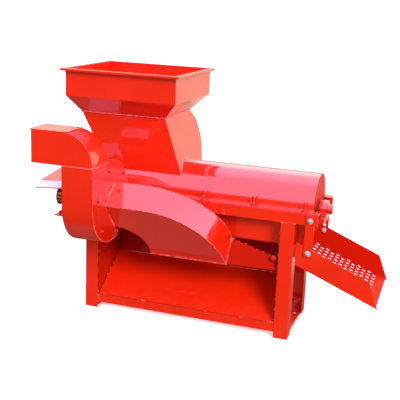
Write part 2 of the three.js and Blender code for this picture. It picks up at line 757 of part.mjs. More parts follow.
const inletFace = fanRight + gap;
addPiece(fan, 'fan_inlet_plate', prismX(inletRim, inletFace, inletFace + sheet, [eye, ...boltHoles]), red);

const elbowRadius = fanRight - fanLeft;
const elbowBase = elbowZ + gap;
const elbowTop = elbowBase + elbowRadius;
const elbowLine = [
  ...arc(fanLeft, elbowBase, elbowRadius, 0, 90, smoothSteps / 2),
  [elbowEnd, elbowTop],
];
const elbowOutline = [...elbowLine, [elbowEnd, elbowBase]];
const elbowHollow = [
  ...arc(fanLeft, elbowBase, elbowRadius - sheet, 0, 90, smoothSteps / 2),
  [elbowEnd - overrun, elbowTop - sheet],
  [elbowEnd - overrun, elbowBase + sheet],
  [fanLeft + sheet, elbowBase + sheet],
  [fanLeft + sheet, elbowBase - overrun],
  [fanRight - sheet, elbowBase - overrun],
];
const tongue = rectangle(innerLeft, elbowZ - tongueDrop, innerRight, elbowBase + sheet);
const elbowShell = cut(prismY(elbowOutline, outletFront, outletBack),
  prismY(elbowHollow, outletFront + sheet, outletBack - sheet));
const tongueSheet = prismY(tongue, outletBack - sheet, outletBack - gap * 2);
addPiece(fan, 'outlet_elbow', join(elbowShell, tongueSheet), red);
addPiece(fan, 'elbow_top_sheet', prismZ(
  rectangle(elbowEnd - topSheetLip, outletFront, fanLeft + topSheetOverlap, outletBack),
  elbowTop + gap, elbowTop + gap + sheet,
), red);

const impellerLeft = fanLeft + impellerLeftInset;
const impellerRight = fanRight - impellerRightInset;
const impellerRadius = fanRadius - impellerClearance;
const fanShaftLeft = pulleyRight - grooveSpacing * fanPulleyGrooves - fanShaftStub;
const fanShaftRight = impellerRight + fanShaftStub;
addPiece(fan, 'fan_shaft', prismX(circle(fanAxisY, fanAxisZ, fanShaftDiameter / 2, smoothSteps),
  fanShaftLeft, fanShaftRight), steel);
const impellerBore = circle(fanAxisY, fanAxisZ, fanShaftDiameter / 2 + gap, smoothSteps);
const impellerPlate = prismX(circle(fanAxisY, fanAxisZ, impellerRadius - bladeOverhang, roundSteps),
  impellerLeft, impellerLeft + sheet, [impellerBore]);
const impellerCore = prismX(circle(fanAxisY, fanAxisZ, impellerHubDiameter / 2, roundSteps),
  impellerLeft, impellerLeft + impellerHubLength, [impellerBore]);
const blades = Array.from({ length: bladeCount }, (_, k) => prismX(
  rectangle(-sheet / 2, impellerHubDiameter / 2 - sheet, sheet / 2, impellerRadius),
  impellerLeft, impellerRight,
).rotateX(radians(360 * k / bladeCount)).translate(0, fanAxisY, fanAxisZ));
addPiece(fan, 'fan_impeller', join(impellerPlate, impellerCore, ...blades), red);
const shelfRight = fanLeft - gap;
const shelfTop = fanAxisZ - fanBearingHeight;
const shelfHalf = fanBearingBase / 2 + shelfMargin;
const shelfPlate = prismZ(
  rectangle(fanLeft - shelfLength, fanAxisY - shelfHalf, shelfRight, fanAxisY + shelfHalf),
  shelfTop - plateStock, shelfTop,
);
const gussets = [fanAxisY - shelfHalf, fanAxisY + shelfHalf - plateStock].map((y) => prismY([
  [shelfRight - gussetLength, shelfTop - plateStock],
  [shelfRight, shelfTop - plateStock / 2],
  [shelfRight, shelfTop - plateStock - gussetHeight],
], y, y + plateStock));
addPiece(fan, 'fan_shelf', join(shelfPlate, ...gussets), red);
addPiece(fan, 'fan_bearing', pillowBlock(fanLeft - fanBearingOffset, fanAxisY, fanAxisZ,
  shelfTop + gap, fanBearingRadius,
  fanShaftDiameter / 2 + gap, fanBearingWidth, fanBearingBase), red);

// Square duct turned on its edge that bends from the fan inlet down to the grain hopper
const duct = addGroup('suction_duct');
const ductStart = inletFace + sheet + gap;
const edgeOf = (start, end, straight, reach, fall) => {
  const length = start.distanceTo(end);
  const along = end.clone().sub(start).divideScalar(length);
  const stop = Math.acos(Math.max(1 - (length - ductLead) / fall, 0));
  const line = [[ductStart, ductLead], ...Array.from({ length: ductSteps + 1 }, (_, i) => {
    const turn = stop * i / ductSteps;
    return [
      ductStart + straight + (reach - straight) * Math.sin(turn),
      ductLead + fall * (1 - Math.cos(turn)),
    ];
  })];
  const innerLine = [
    ...arc(0, 0, 1, 90, 0, ductSteps / 2).map(([p, q]) => [
      ductStart + ductInnerLength * p,
      ductInnerFall - (ductInnerFall - ductDepth) * q,
    ]),
    [ductStart + ductInnerLength, length],
  ];
  const put = ([x, s]) => new THREE.Vector3(x, start.x + along.x * s, start.y + along.y * s);
  return { line, innerLine, put };
};
const upper = edgeOf(ductUpper, mouthUpper, ductUpperStraight, ductUpperLength, ductUpperFall);
const lower = edgeOf(ductLower, mouthLower, ductLowerStraight, ductLowerLength, ductLowerFall);
const shifted = (line, thickness) => band(line, thickness).slice(line.length).reverse();
const ruled = (lineUpper, lineLower, thickness) => {
  const innerUpper = shifted(lineUpper, thickness);
  const innerLower = shifted(lineLower, thickness);
  return skin(lineUpper.map((_, i) => [
    upper.put(lineUpper[i]),
    lower.put(lineLower[i]),
    lower.put(innerLower[i]),
    upper.put(innerUpper[i]),
  ]));
};
addPiece(duct, 'duct_outer_wall', ruled(upper.line, lower.line, -sheet), red);
addPiece(duct, 'duct_inner_wall', ruled(upper.innerLine, lower.innerLine, sheet), red);
const flatWall = (edge, thickness) => {
  const outline = [
    ...shifted(edge.line, -sheet - ductSeam),
    ...shifted(edge.innerLine, sheet + ductSeam).reverse(),
  ];
  const geometry = new THREE.ExtrudeGeometry(shapeOf(outline), { depth: sheet, bevelEnabled: false });
  const origin = edge.put([0, 0]);
  const along = edge.put([0, 1]).sub(origin);
  const basis = new THREE.Matrix4().makeBasis(unitX, along, unitX.clone().cross(along));
  basis.setPosition(origin.addScaledVector(unitX.clone().cross(along), thickness));
  return geometry.applyMatrix4(basis);
};
addPiece(duct, 'duct_upper_wall', flatWall(upper, -sheet), red);
addPiece(duct, 'duct_lower_wall', flatWall(lower, 0), red);
const closerPlane = new THREE.Plane();
const closer = [
  upper.put(upper.line[ductSteps + 1]).add(new THREE.Vector3(gap * 2, 0, 0)),
  lower.put(lower.line[ductSteps + 1]).add(new THREE.Vector3(gap * 2, 0, 0)),
  new THREE.Vector3(bulkheadX - closerLowerInset, closerLowerDepth - halfDepth, railTop - closerLowerDrop),
];
closerPlane.setFromCoplanarPoints(...closer);
const closerCorner = new THREE.Vector3(bulkheadX - closerUpperInset, 0, railTop - closerUpperDrop);
closerCorner.setY(-(closerPlane.normal.dot(closerCorner) + closerPlane.constant) / closerPlane.normal.y);
closer.push(closerCorner);
const closerInward = closerPlane.normal.y < 0 ? -sheet : sheet;
const closerBack = closer.map((corner) => corner.clone().addScaledVector(closerPlane.normal, closerInward));
addPiece(duct, 'duct_closer', skin([closer, closerBack]), red);

// Feed hopper of bent sheet over a leaning throat
const hopper = addGroup('hopper');
const levels = [
  [bandLeft, bandRight, -bandBack, bandBack, bandTop],
  [bandLeft, bandRight, -bandBack, bandBack, bandBottom],
  [taperLeft, taperRight, taperFront, taperBack, taperBottom],
];
const wallRing = levels.map(([left, right, front, back, z]) => [
  [left, front, 1, 1],
  [right, front, -1, 1],
  [right, back, -1, -1],
  [left, back, 1, -1],
].map(([x, y, intoX, intoY]) => ({
  outer: new THREE.Vector3(x, y, z),
  inner: new THREE.Vector3(x + intoX * sheet, y + intoY * sheet, z),
})));
['front', 'right', 'back', 'left'].forEach((wallName, k) => {
  const next = (k + 1) % 4;
  const trim = k % 2 ? 0 : gap;
  const sign = k === 0 ? 1 : -1;
  const moved = (corner, direction) => corner.clone().setX(corner.x + direction * sign * trim);
  addPiece(hopper, `hopper_${wallName}`, skin(wallRing.map((ring) => [
    moved(ring[k].outer, 1),
    moved(ring[next].outer, -1),
    moved(ring[next].inner, -1),
    moved(ring[k].inner, 1),
  ])), red);
});
const rimRing = prismZ(rectangle(bandLeft - rimLip, -rimBack, bandRight + rimLip, rimBack),
  bandTop + gap, bandTop + gap + rimHeight,
  [rectangle(bandLeft + sheet, sheet - bandBack, bandRight - sheet, bandBack - sheet)]);
addPiece(hopper, 'hopper_rim', rimRing, red);

const bulgeShares = [
  [0.383, 1],
  [0.883, 0.841],
  [1, 0.639],
  [0.983, 0.477],
  [0.79, 0.328],
  [0.54, 0.182],
  [0.225, 0.073],
  [0, 0],
];
const throatTop = taperBottom - gap;
const throatHeelZ = railTop + throatHeelRise;
const throatLeft = bandLeft - overrun;
const throatRight = bandRight + overrun;
const throatDepth = throatHeelY + throatBulge + overrun;
const backCurve = new THREE.SplineCurve(bulgeShares.map(([out, up]) => new THREE.Vector2(
  throatHeelY + throatBulge * out,
  throatHeelZ + (throatTop - throatHeelZ) * up,
))).getPoints(smallSteps).map((point) => [point.x, point.y]);
const frontLean = (taperFront - throatFootFront) / (taperBottom - throatFootZ);
const frontLine = [
  [throatFootFront + frontLean * (coverZ - throatFootZ), coverZ],
  [throatFootFront + frontLean * (throatTop - throatFootZ), throatTop],
];
const throatOutline = [...frontLine, ...backCurve, [throatHeelY, coverZ]];
const roundBelow = prismX(circle(0, coverZ, coverRadius + gap, smoothSteps * 2), throatLeft, throatRight);
const between = prismY(wedge(sheet / 2), -throatDepth, throatDepth);
const throatSheet = (line) => common(prismX(band(line, sheet), throatLeft, throatRight), between);
const throatSides = cut(
  common(prismX(throatOutline, throatLeft, throatRight), prismY(wedge(0), -throatDepth, throatDepth)),
  prismY(wedge(sheet), -throatDepth, throatDepth),
);
const throat = join(throatSides, throatSheet(frontLine), throatSheet([...backCurve, [throatHeelY, coverZ]]));
addPiece(hopper, 'hopper_throat', cut(throat, roundBelow), red);

// Cob chute hung on two bars, with a staggered row pattern of slots in its floor
const chute = addGroup('cob_chute');
const chuteUpperZ = railTop - chuteDrop;
const chuteLowerZ = chuteUpperZ - chuteMouthHeight;
const chuteLean = Math.atan2(chuteFall, chuteLength);
const pivotHole = prismY(circle(hangerBoltX, chutePivotZ, hangerBoltBore / 2, smallSteps),
  -halfDepth - overrun, halfDepth + overrun);
const sideways = (outline, from, to, holes) => prismY(outline, Math.min(from, to), Math.max(from, to), holes);
faces.forEach(([faceName, face]) => {
  const wall = sideways([
    [chuteStart, chuteUpperZ],
    [chuteStart, chuteLowerZ],
    [chuteEndX, chuteLowerZ - chuteFall],
    [chuteStart + chuteTopLength, chuteUpperZ - chuteTopFall],
  ], face * halfDepth, face * (halfDepth - sheet));
  addPiece(chute, `chute_side_${faceName}`, cut(wall, pivotHole), red);
  const barOutline = rectangle(hangerBoltX - barWidth / 2, chutePivotZ - hangerEnd,
    hangerBoltX + barWidth / 2, railTop - hangerTopDrop);
  const bar = sideways(barOutline, face * (halfDepth + gap), face * (halfDepth + gap + plateStock), [
    circle(hangerBoltX, hangerBoltZ, hangerBoltBore / 2, smallSteps),
    [
      ...arc(hangerBoltX, chutePivotZ, hangerBoltBore / 2, 180, 360, smallSteps / 2),
      ...arc(hangerBoltX, chutePivotZ + chuteSlotRise, hangerBoltBore / 2, 0, 180, smallSteps / 2),
    ],
  ]);
  addPiece(frame, `hanger_bar_${faceName}`, bar, red);
});
const floorLength = chuteLength / Math.cos(chuteLean) - floorRise;
const floorHalf = halfDepth - sheet - gap;
const tongueHalf = casingInner - gap;
const floorOutline = [
  [0, -floorHalf],
  [floorLength, -floorHalf],
  [floorLength, floorHalf],
  [0, floorHalf],
  [0, tongueHalf],
  [-floorTongue, tongueHalf],
  [-floorTongue, -tongueHalf],
  [0, -tongueHalf],
];
const rowsPerHalf = Math.floor((floorHalf - floorMargin) / floorSpacingAcross);
const columnRoom = floorLength - floorMargin - floorSlotStart - floorSpacingAlong / 2 - floorSlotLength / 2;
const floorColumns = Math.floor(columnRoom / floorSpacingAlong) + 1;
const floorSlots = [];
for (let row = -rowsPerHalf; row <= rowsPerHalf; row += 1) {
  const across = row * floorSpacingAcross;
  const start = floorSlotStart + (row % 2 ? floorSpacingAlong / 2 : 0);
  for (let column = 0; column < floorColumns; column += 1) {
    const along = start + column * floorSpacingAlong;
    floorSlots.push(slotOutline(along, across, floorSlotLength / 2, floorSlotWidth / 2));
  }
}
const floor = prismZ(floorOutline, 0, sheet, floorSlots);
floor.rotateY(chuteLean);
floor.translate(chuteStart, 0, chuteLowerZ + floorRise);
addPiece(chute, 'chute_floor', floor, red);

export default group;
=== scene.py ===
import math
import random
import bmesh
import bpy
from mathutils import Matrix, Vector


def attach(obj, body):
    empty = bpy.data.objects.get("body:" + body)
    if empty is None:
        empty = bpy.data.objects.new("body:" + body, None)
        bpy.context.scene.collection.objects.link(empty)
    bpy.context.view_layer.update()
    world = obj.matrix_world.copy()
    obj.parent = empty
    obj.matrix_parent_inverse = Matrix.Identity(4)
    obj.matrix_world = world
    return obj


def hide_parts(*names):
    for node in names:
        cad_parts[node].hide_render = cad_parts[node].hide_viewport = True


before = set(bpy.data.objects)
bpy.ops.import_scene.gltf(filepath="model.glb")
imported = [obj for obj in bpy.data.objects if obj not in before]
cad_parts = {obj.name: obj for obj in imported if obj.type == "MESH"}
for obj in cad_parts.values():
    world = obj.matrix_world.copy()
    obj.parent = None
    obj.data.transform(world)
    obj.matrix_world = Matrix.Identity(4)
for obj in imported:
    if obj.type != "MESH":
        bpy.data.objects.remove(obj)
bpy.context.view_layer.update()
random.seed(41)
origin = Vector((0.1225, -0.15675, 0))  # small pieces, sun and camera are placed from the frame's middle
print("stage: frame loaded")

# finishes, whose heights and edges are places in the loaded model


class Wire:  # a shader socket that can be added, subtracted and multiplied in plain expressions
    def __init__(self, tree, socket):
        self.tree = tree
        self.socket = socket

    def combine(self, operation, left, right):
        node = self.tree.nodes.new("ShaderNodeMath")
        node.operation = operation
        for place, value in enumerate((left, right)):
            if isinstance(value, Wire):
                self.tree.links.new(value.socket, node.inputs[place])
            else:
                node.inputs[place].default_value = value
        return Wire(self.tree, node.outputs[0])

    def __add__(self, other):
        return self.combine("ADD", self, other)

    def __sub__(self, other):
        return self.combine("SUBTRACT", self, other)

    def __rsub__(self, other):
        return self.combine("SUBTRACT", other, self)

    def __mul__(self, other):
        return self.combine("MULTIPLY", self, other)

    __radd__ = __add__
    __rmul__ = __mul__


class Finish:  # one material, or the sky; node() adds any node by its type, settings and sockets
    def __init__(self, name, sky=None):
        self.material = sky or bpy.data.materials.new(name)
        self.material.use_nodes = True
        self.tree = self.material.node_tree
        self.shader = self.tree.nodes["Background" if sky else "Principled BSDF"]
        self.place = self.node("ShaderNodeTexCoord", {}, {}, "Generated" if sky else "Object")

    def feed(self, socket, value):
        if isinstance(value, Wire):
            self.tree.links.new(value.socket, socket)
        else:
            socket.default_value = value

    def node(self, kind, settings, sockets, output):
        made = self.tree.nodes.new(kind)
        for name, value in settings.items():
            setattr(made, name, value)
        for name, value in sockets.items():
            self.feed(made.inputs[name], value)
        return Wire(self.tree, made.outputs[output])

    def noise(self, scale, detail=3.0, rough=0.55):
        sockets = {"Vector": self.place, "Scale": scale, "Detail": detail, "Roughness": rough}
        return self.node("ShaderNodeTexNoise", {}, sockets, "Fac")

    def stripes(self, axis, scale, distortion):
        sockets = {"Vector": self.place, "Scale": scale, "Distortion": distortion, "Detail": 2.0}
        settings = {"wave_type": "BANDS", "bands_direction": axis}
        return self.node("ShaderNodeTexWave", settings, sockets, "Fac")

    def band(self, value, low, high):  # 0 below low, 1 above high
        return self.node("ShaderNodeMapRange", {"interpolation_type": "SMOOTHSTEP"},
                         {"Value": value, "From Min": low, "From Max": high}, "Result")

    def mix(self, mask, first, second):
        return self.node("ShaderNodeMix", {"data_type": "RGBA"}, {0: mask, 6: first, 7: second}, 2)

    def part(self, axis):
        return self.node("ShaderNodeSeparateXYZ", {}, {"Vector": self.place}, axis)

    def line(self, value, middle, half):  # 1 near the middle, fading to 0 at half on both sides
        away = self.node("ShaderNodeMath", {"operation": "ABSOLUTE"}, {0: value - middle}, 0)
        return 1 - self.band(away, half * 0.6, half)

    def bump(self, value, strength, distance, under=None):
        sockets = {"Height": value, "Strength": strength, "Distance": distance}
        if under is not None:
            sockets["Normal"] = under
        return self.node("ShaderNodeBump", {}, sockets, "Normal")

    def rounded(self, radius):  # softens sharp edges in the shading only
        return self.node("ShaderNodeBevel", {"samples": 4}, {"Radius": radius}, "Normal")

    def set(self, **values):
        names = {"colour": "Base Color", "rough": "Roughness", "metal": "Metallic", "normal": "Normal",
                 "coat": "Coat Weight", "coatRough": "Coat Roughness", "coatIor": "Coat IOR", "ior": "IOR",
                 "glow": "Emission Color", "glowStrength": "Emission Strength"}
        for name, value in values.items():
            self.feed(self.shader.inputs[names[name]], value)
        return self.material


enamel = {
    "colour": (0.80, 0.020, 0.002, 1),
    "shade": (0.70, 0.015, 0.0015, 1),
    "fade": (0.86, 0.034, 0.005, 1),
    # the darker colour below is painted shade, mixed into enamel copies for parts that sit in shade
    "paintedShade": (0.16, 0.003, 0.001, 1),
    "paleStrip": (0.93, 0.80, 0.88, 1),
    # the weld colour below is lighter and pinker than the enamel, partly painted highlight on the beads'
    # tops
    "weld": (0.88, 0.15, 0.13, 1),
    "dust": (0.42, 0.10, 0.05, 1),
    "primer": (0.16, 0.05, 0.03, 1),
    "cloudScale": 2.3, "cloud": (0.35, 0.7),
    "fadeScale": 0.9, "fadeEdge": (0.5, 0.75), "fadeShare": 0.5,
    "dirtScale": 38.0, "dirtEdge": (0.42, 0.72), "dirtTop": (0.02, 0.16), "dirtRough": 0.45,
    "chipScale": 85.0, "chipEdge": (0.72, 0.76), "chipPatchScale": 6.0, "chipPatch": (0.55, 0.7),
    "chipRough": 0.4, "chipDepth": 0.0003,
    "rough": 0.3, "smearScale": 9.0, "smearEdge": (0.3, 0.8), "smear": 0.14,
    "waveScale": 1.6,
    "peelScale": 150.0, "peelStrength": 0.35, "peelHeight": 0.00025,
    "seamHalf": 0.0035, "seamWanderScale": 55.0, "seamWander": 0.002,
    "seamRippleScale": 160.0, "seamRipple": 0.6, "seamLeast": 0.7, "seamHeight": 0.0025, "seamEnd": 0.001,
    "coatRough": 0.04,
    "coatIor": 2.2,
}


# edge is the rounding and wave the unevenness, in metres; dusty is the dirt near the floor
# the share of the darker colour is painted shade for parts that sit in shade; seam is the height and front
# edge of a weld line
# the last argument gives the middle and half width of a pale strip along the part
def paintFinish(name, edge, dusty, wave, gloss=1.0, paintedShade=0.0, ior=1.4, seam=None, paleStrip=None):
    finish = Finish(name)
    cloud = finish.band(finish.noise(enamel["cloudScale"], 2.0), *enamel["cloud"])
    colour = finish.mix(cloud, enamel["shade"], enamel["colour"])
    faded = finish.band(finish.noise(enamel["fadeScale"], 1.0), *enamel["fadeEdge"])
    colour = finish.mix(faded * enamel["fadeShare"], colour, enamel["fade"])
    # painted shade: the enamel is darkened towards the darker colour
    if paintedShade:
        colour = finish.mix(paintedShade, colour, enamel["paintedShade"])
    low = 1 - finish.band(finish.part("Z"), *enamel["dirtTop"])
    dirt = finish.band(finish.noise(enamel["dirtScale"], 6.0, 0.7), *enamel["dirtEdge"]) * low * dusty
    colour = finish.mix(dirt, colour, enamel["dust"])
    chips = finish.band(finish.noise(enamel["chipScale"], 4.0, 0.6), *enamel["chipEdge"])
    chips = chips * finish.band(finish.noise(enamel["chipPatchScale"], 2.0), *enamel["chipPatch"])
    colour = finish.mix(chips, colour, enamel["primer"])
    if paleStrip:
        colour = finish.mix(finish.line(finish.part("Y"), *paleStrip), colour, enamel["paleStrip"])
    smear = finish.band(finish.noise(enamel["smearScale"], 3.0), *enamel["smearEdge"]) * enamel["smear"]
    rough = smear + enamel["rough"] + dirt * enamel["dirtRough"] + chips * enamel["chipRough"]
    normal = finish.bump(finish.noise(enamel["waveScale"], 1.0), 1.0, wave, finish.rounded(edge))
    peel = finish.noise(enamel["peelScale"], 2.0)
    normal = finish.bump(peel, enamel["peelStrength"], enamel["peelHeight"], normal)
    normal = finish.bump(1 - chips, 0.5, enamel["chipDepth"], normal)
    if seam:
        height, front = seam
        wander = finish.part("Z") + finish.noise(enamel["seamWanderScale"], 2.0) * enamel["seamWander"]
        ahead = 1 - finish.band(finish.part("Y"), front, front + enamel["seamEnd"])
        raised = finish.line(wander, height, enamel["seamHalf"]) * ahead
        # the weld line is coloured lighter and pinker, partly painted highlight
        colour = finish.mix(raised, colour, enamel["weld"])
        ripple = finish.noise(enamel["seamRippleScale"], 1.0) * enamel["seamRipple"] + enamel["seamLeast"]
        normal = finish.bump(raised * ripple, 1.0, enamel["seamHeight"], normal)
    return finish.set(colour=colour, rough=rough, normal=normal, ior=ior, coat=(1 - dirt) * gloss,
                      coatRough=enamel["coatRough"], coatIor=enamel["coatIor"])


# the pinker high colour is partly painted highlight on the beads' tops, mixed in at random
beadLook = {"low": (0.70, 0.02, 0.006, 1), "high": (0.90, 0.24, 0.20, 1), "grain": 70.0, "edge": (0.4, 0.65),
            "roughScale": 120.0, "roughShare": 0.1, "rough": 0.3, "coatRough": 0.12, "ior": 1.4}


def beadFinish():
    finish = Finish("weldEnamel")
    mask = finish.band(finish.noise(beadLook["grain"], 2.0), *beadLook["edge"])
    rough = finish.noise(beadLook["roughScale"], 2.0) * beadLook["roughShare"] + beadLook["rough"]
    return finish.set(colour=finish.mix(mask, beadLook["low"], beadLook["high"]), rough=rough, coat=1.0,
                      ior=beadLook["ior"], coatRough=beadLook["coatRough"], coatIor=enamel["coatIor"])


seamLook = {"dark": (0.05, 0.008, 0.004, 1), "red": (0.30, 0.012, 0.004, 1), "grain": 90.0,
            "edge": (0.35, 0.6), "roughScale": 150.0, "roughShare": 0.2, "rough": 0.5}


def seamFinish():
    finish = Finish("seamShadow")
    mask = finish.band(finish.noise(seamLook["grain"], 3.0), *seamLook["edge"])
    rough = finish.noise(seamLook["roughScale"], 2.0) * seamLook["roughShare"] + seamLook["rough"]
    return finish.set(colour=finish.mix(mask, seamLook["dark"], seamLook["red"]), rough=rough)


zincLook = {"green": (0.45, 0.52, 0.49, 1), "pale": (0.62, 0.67, 0.62, 1), "spots": 60.0,
            "edge": (0.35, 0.7), "grain": 240.0, "metal": 0.35, "roughShare": 0.2, "rough": 0.3,
            "grainHeight": 0.0002}


def zincFinish():
    finish = Finish("zincPlate")
    grain = finish.noise(zincLook["grain"], 3.0)
    mask = finish.band(finish.noise(zincLook["spots"], 3.0), *zincLook["edge"])
    return finish.set(colour=finish.mix(mask, zincLook["green"], zincLook["pale"]), metal=zincLook["metal"],
                      rough=grain * zincLook["roughShare"] + zincLook["rough"],
                      normal=finish.bump(grain, 0.2, zincLook["grainHeight"]))


shaftLook = {"steel": (0.55, 0.54, 0.51, 1), "rust": (0.24, 0.12, 0.07, 1), "turning": 260.0,
             "turningHeight": 0.0002, "rustScale": 22.0, "rustEdge": (0.56, 0.75), "rough": 0.24,
             "rustRough": 0.4, "ringRough": 0.06, "rustCover": 0.7}


def shaftFinish():
    finish = Finish("turnedSteel")
    rings = finish.stripes("X", shaftLook["turning"], 0.4)
    rust = finish.band(finish.noise(shaftLook["rustScale"], 5.0, 0.65), *shaftLook["rustEdge"])
    rough = rust * shaftLook["rustRough"] + rings * shaftLook["ringRough"] + shaftLook["rough"]
    return finish.set(colour=finish.mix(rust, shaftLook["steel"], shaftLook["rust"]), rough=rough,
                      metal=1 - rust * shaftLook["rustCover"],
                      normal=finish.bump(rings, 0.15, shaftLook["turningHeight"]))


# the pulley's black upper part is a painted shadow of the belt guard
pulleyLook = {"black": (0.012, 0.010, 0.012, 1), "blue": (0.010, 0.075, 0.20, 1),
              "gold": (0.95, 0.50, 0.07, 1), "goldBand": (0.590, 0.026), "goldEdge": (-0.6636, -0.6626),
              "blueTop": (0.562, 0.570), "stripeScale": 19.0, "stripeEdge": (0.25, 0.5),
              "stripeWaver": 1.5, "goldMetal": 0.3, "goldRough": 0.1, "rough": 0.35,
              "grain": 120.0, "grainHeight": 0.0004, "edge": 0.0015}


def pulleyFinish():
    finish = Finish("pulleyPaint")
    stripes = finish.stripes("Z", pulleyLook["stripeScale"], pulleyLook["stripeWaver"])
    stripes = finish.band(stripes, *pulleyLook["stripeEdge"])
    # painted shadow: black above the height where the belt guard's shadow ends, blue below
    low = 1 - finish.band(finish.part("Z"), *pulleyLook["blueTop"])
    colour = finish.mix(low, pulleyLook["black"], pulleyLook["blue"])
    gold = stripes * (1 - low) * finish.line(finish.part("Z"), *pulleyLook["goldBand"])
    gold = gold * finish.band(finish.part("X"), *pulleyLook["goldEdge"])
    normal = finish.bump(finish.noise(pulleyLook["grain"], 3.0), 0.3, pulleyLook["grainHeight"],
                         finish.rounded(pulleyLook["edge"]))
    return finish.set(colour=finish.mix(gold, colour, pulleyLook["gold"]), normal=normal,
                      metal=gold * pulleyLook["goldMetal"],
                      rough=gold * pulleyLook["goldRough"] + pulleyLook["rough"])


beltLook = {"black": (0.012, 0.012, 0.012, 1), "grey": (0.05, 0.045, 0.04, 1), "weave": 420.0,
            "weaveHeight": 0.0003, "weaveRough": 0.2, "rough": 0.6, "wornScale": 18.0,
            "wornEdge": (0.4, 0.7), "frayed": (0.60, 0.30, 0.05, 1), "frayedFrom": (-0.245, -0.235)}


def beltFinish():
    finish = Finish("beltRubber")
    weave = finish.noise(beltLook["weave"], 2.0)
    worn = finish.band(finish.noise(beltLook["wornScale"], 3.0), *beltLook["wornEdge"])
    colour = finish.mix(worn, beltLook["black"], beltLook["grey"])
    frayed = finish.stripes("Z", pulleyLook["stripeScale"], pulleyLook["stripeWaver"])
    frayed = finish.band(frayed, *pulleyLook["stripeEdge"])
    frayed = frayed * (1 - finish.band(finish.part("Y"), *beltLook["frayedFrom"]))
    return finish.set(colour=finish.mix(frayed, colour, beltLook["frayed"]),
                      rough=weave * beltLook["weaveRough"] + beltLook["rough"],
                      normal=finish.bump(weave, 0.4, beltLook["weaveHeight"]))


paint = {
    "bar": paintFinish("barEnamel", edge=0.003, dusty=0.14, wave=0.002),
    "sheet": paintFinish("sheetEnamel", edge=0.0012, dusty=0.08, wave=0.004),
    "rim": paintFinish("rimEnamel", edge=0.008, dusty=0.0, wave=0.001),
    "cast": paintFinish("castEnamel", edge=0.003, dusty=0.1, wave=0.001),
    # the three enamels with a darker share below are copies darkened by painted shade, for parts that sit in
    # shade
    "flat": paintFinish("flatEnamel", edge=0.0012, dusty=0.08, wave=0.004, gloss=0.02, paintedShade=0.4, ior=1.1),
    "closer": paintFinish("closerEnamel", edge=0.0012, dusty=0.08, wave=0.004, gloss=0.01, paintedShade=0.62,
                          ior=1.05),
    "slide": paintFinish("slideEnamel", edge=0.0012, dusty=0.25, wave=0.004, gloss=0.10, ior=1.3),
    "stud": paintFinish("studEnamel", edge=0.0008, dusty=0.1, wave=0.001, gloss=0.9, paintedShade=0.35),
    "outlet": paintFinish("outletEnamel", edge=0.0012, dusty=0.0, wave=0.004, seam=(0.7732, -0.412)),
    "guard": paintFinish("guardEnamel", edge=0.0012, dusty=0.0, wave=0.003, gloss=0.7,
                         paleStrip=(-0.2415, 0.0262)),
}
finishPlan = (  # each finish with the starts of the names of its nodes; the last takes every other node
    (shaftFinish(), ("drum_shaft", "fan_shaft")),
    (pulleyFinish(), ("drum_pulley", "fan_pulley")),
    (beltFinish(), ("fan_belt",)),
    (paint["rim"], ("hopper_rim",)),
    (paint["closer"], ("duct_closer",)),
    (paint["flat"], ("chute_side_rear", "chute_floor", "bulkhead_", "funnel_plate", "cover_end_right")),
    (paint["slide"], ("slide_plate",)),
    (paint["outlet"], ("outlet_elbow", "fan_scroll")),
    (paint["guard"], ("belt_guard",)),
    (paint["cast"], ("drum_bearing_", "fan_bearing", "drum_end_hub")),
    (paint["bar"], ("leg_", "top_rail_", "low_rail_", "foot_bar_", "bearing_beam_", "hanger_bar_",
                    "fan_shelf")),
    (paint["sheet"], ("",)),
)
for name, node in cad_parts.items():
    material = next(finish for finish, starts in finishPlan if name.startswith(starts))
    if not node.material_slots:
        node.data.materials.append(material)
    for slot in node.material_slots:
        slot.material = material
print("stage: finishes")

# rolled sheets

rolledSheet = {
    "nodes": ("hopper_throat", "drum_cover", "duct_outer_wall", "duct_inner_wall", "fan_scroll",
              "outlet_elbow"),
    "merge": 0.00002,
    "sharp": 32,
    "floorAcross": (0.372, 0, 0.928),  # square to the chute's floor
    "floorThickness": 0.0008,
}


def placePiece(name, data, material, sharp, body):
    data.materials.append(material)
    data.shade_smooth()
    data.set_sharp_from_angle(angle=math.radians(sharp))
    piece = bpy.data.objects.new(name, data)
    bpy.context.scene.collection.objects.link(piece)
    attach(piece, body)
    return piece


def thinned(mesh, across, thickness):  # the underside moves up towards the top
    across = Vector(across).normalized()
    heights = [vert.co.dot(across) for vert in mesh.verts]
    low, top = min(heights), max(heights)
    for vert in mesh.verts:
        if vert.co.dot(across) < (low + top) / 2:
            vert.co += across * (top - low - thickness)


def sheetCopy(node, body, across=None, thickness=None):  # the node's own shape, shaded as one sheet
    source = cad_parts[node]
    mesh = bmesh.new()
    mesh.from_mesh(source.data)
    bmesh.ops.remove_doubles(mesh, verts=mesh.verts, dist=rolledSheet["merge"])
    if across:
        thinned(mesh, across, thickness)
    data = bpy.data.meshes.new(node + "Sheet")
    mesh.to_mesh(data)
    mesh.free()
    if "custom_normal" in data.attributes:  # the solid's own normals don't fit the merged faces
        data.attributes.remove(data.attributes["custom_normal"])
    material = source.material_slots[0].material
    piece = placePiece(node + "Sheet", data, material, rolledSheet["sharp"], body)
    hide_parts(node)


for node in rolledSheet["nodes"]:
    sheetCopy(node, "frame")
sheetCopy("chute_floor", "chute", rolledSheet["floorAcross"], rolledSheet["floorThickness"])
print("stage: rolled sheets")

# fasteners

sharpFrom = 35  # degrees between two faces from which their edge stays sharp


def finishPiece(name, mesh, material, body):
    bmesh.ops.translate(mesh, verts=mesh.verts, vec=-origin)
    bmesh.ops.recalc_face_normals(mesh, faces=mesh.faces)
    data = bpy.data.meshes.new(name)
    mesh.to_mesh(data)
    mesh.free()
    placePiece(name, data, material, sharpFrom, body)


def turnTo(axis):
    return Vector((0, 0, 1)).rotation_difference(Vector(axis)).to_matrix().to_4x4()


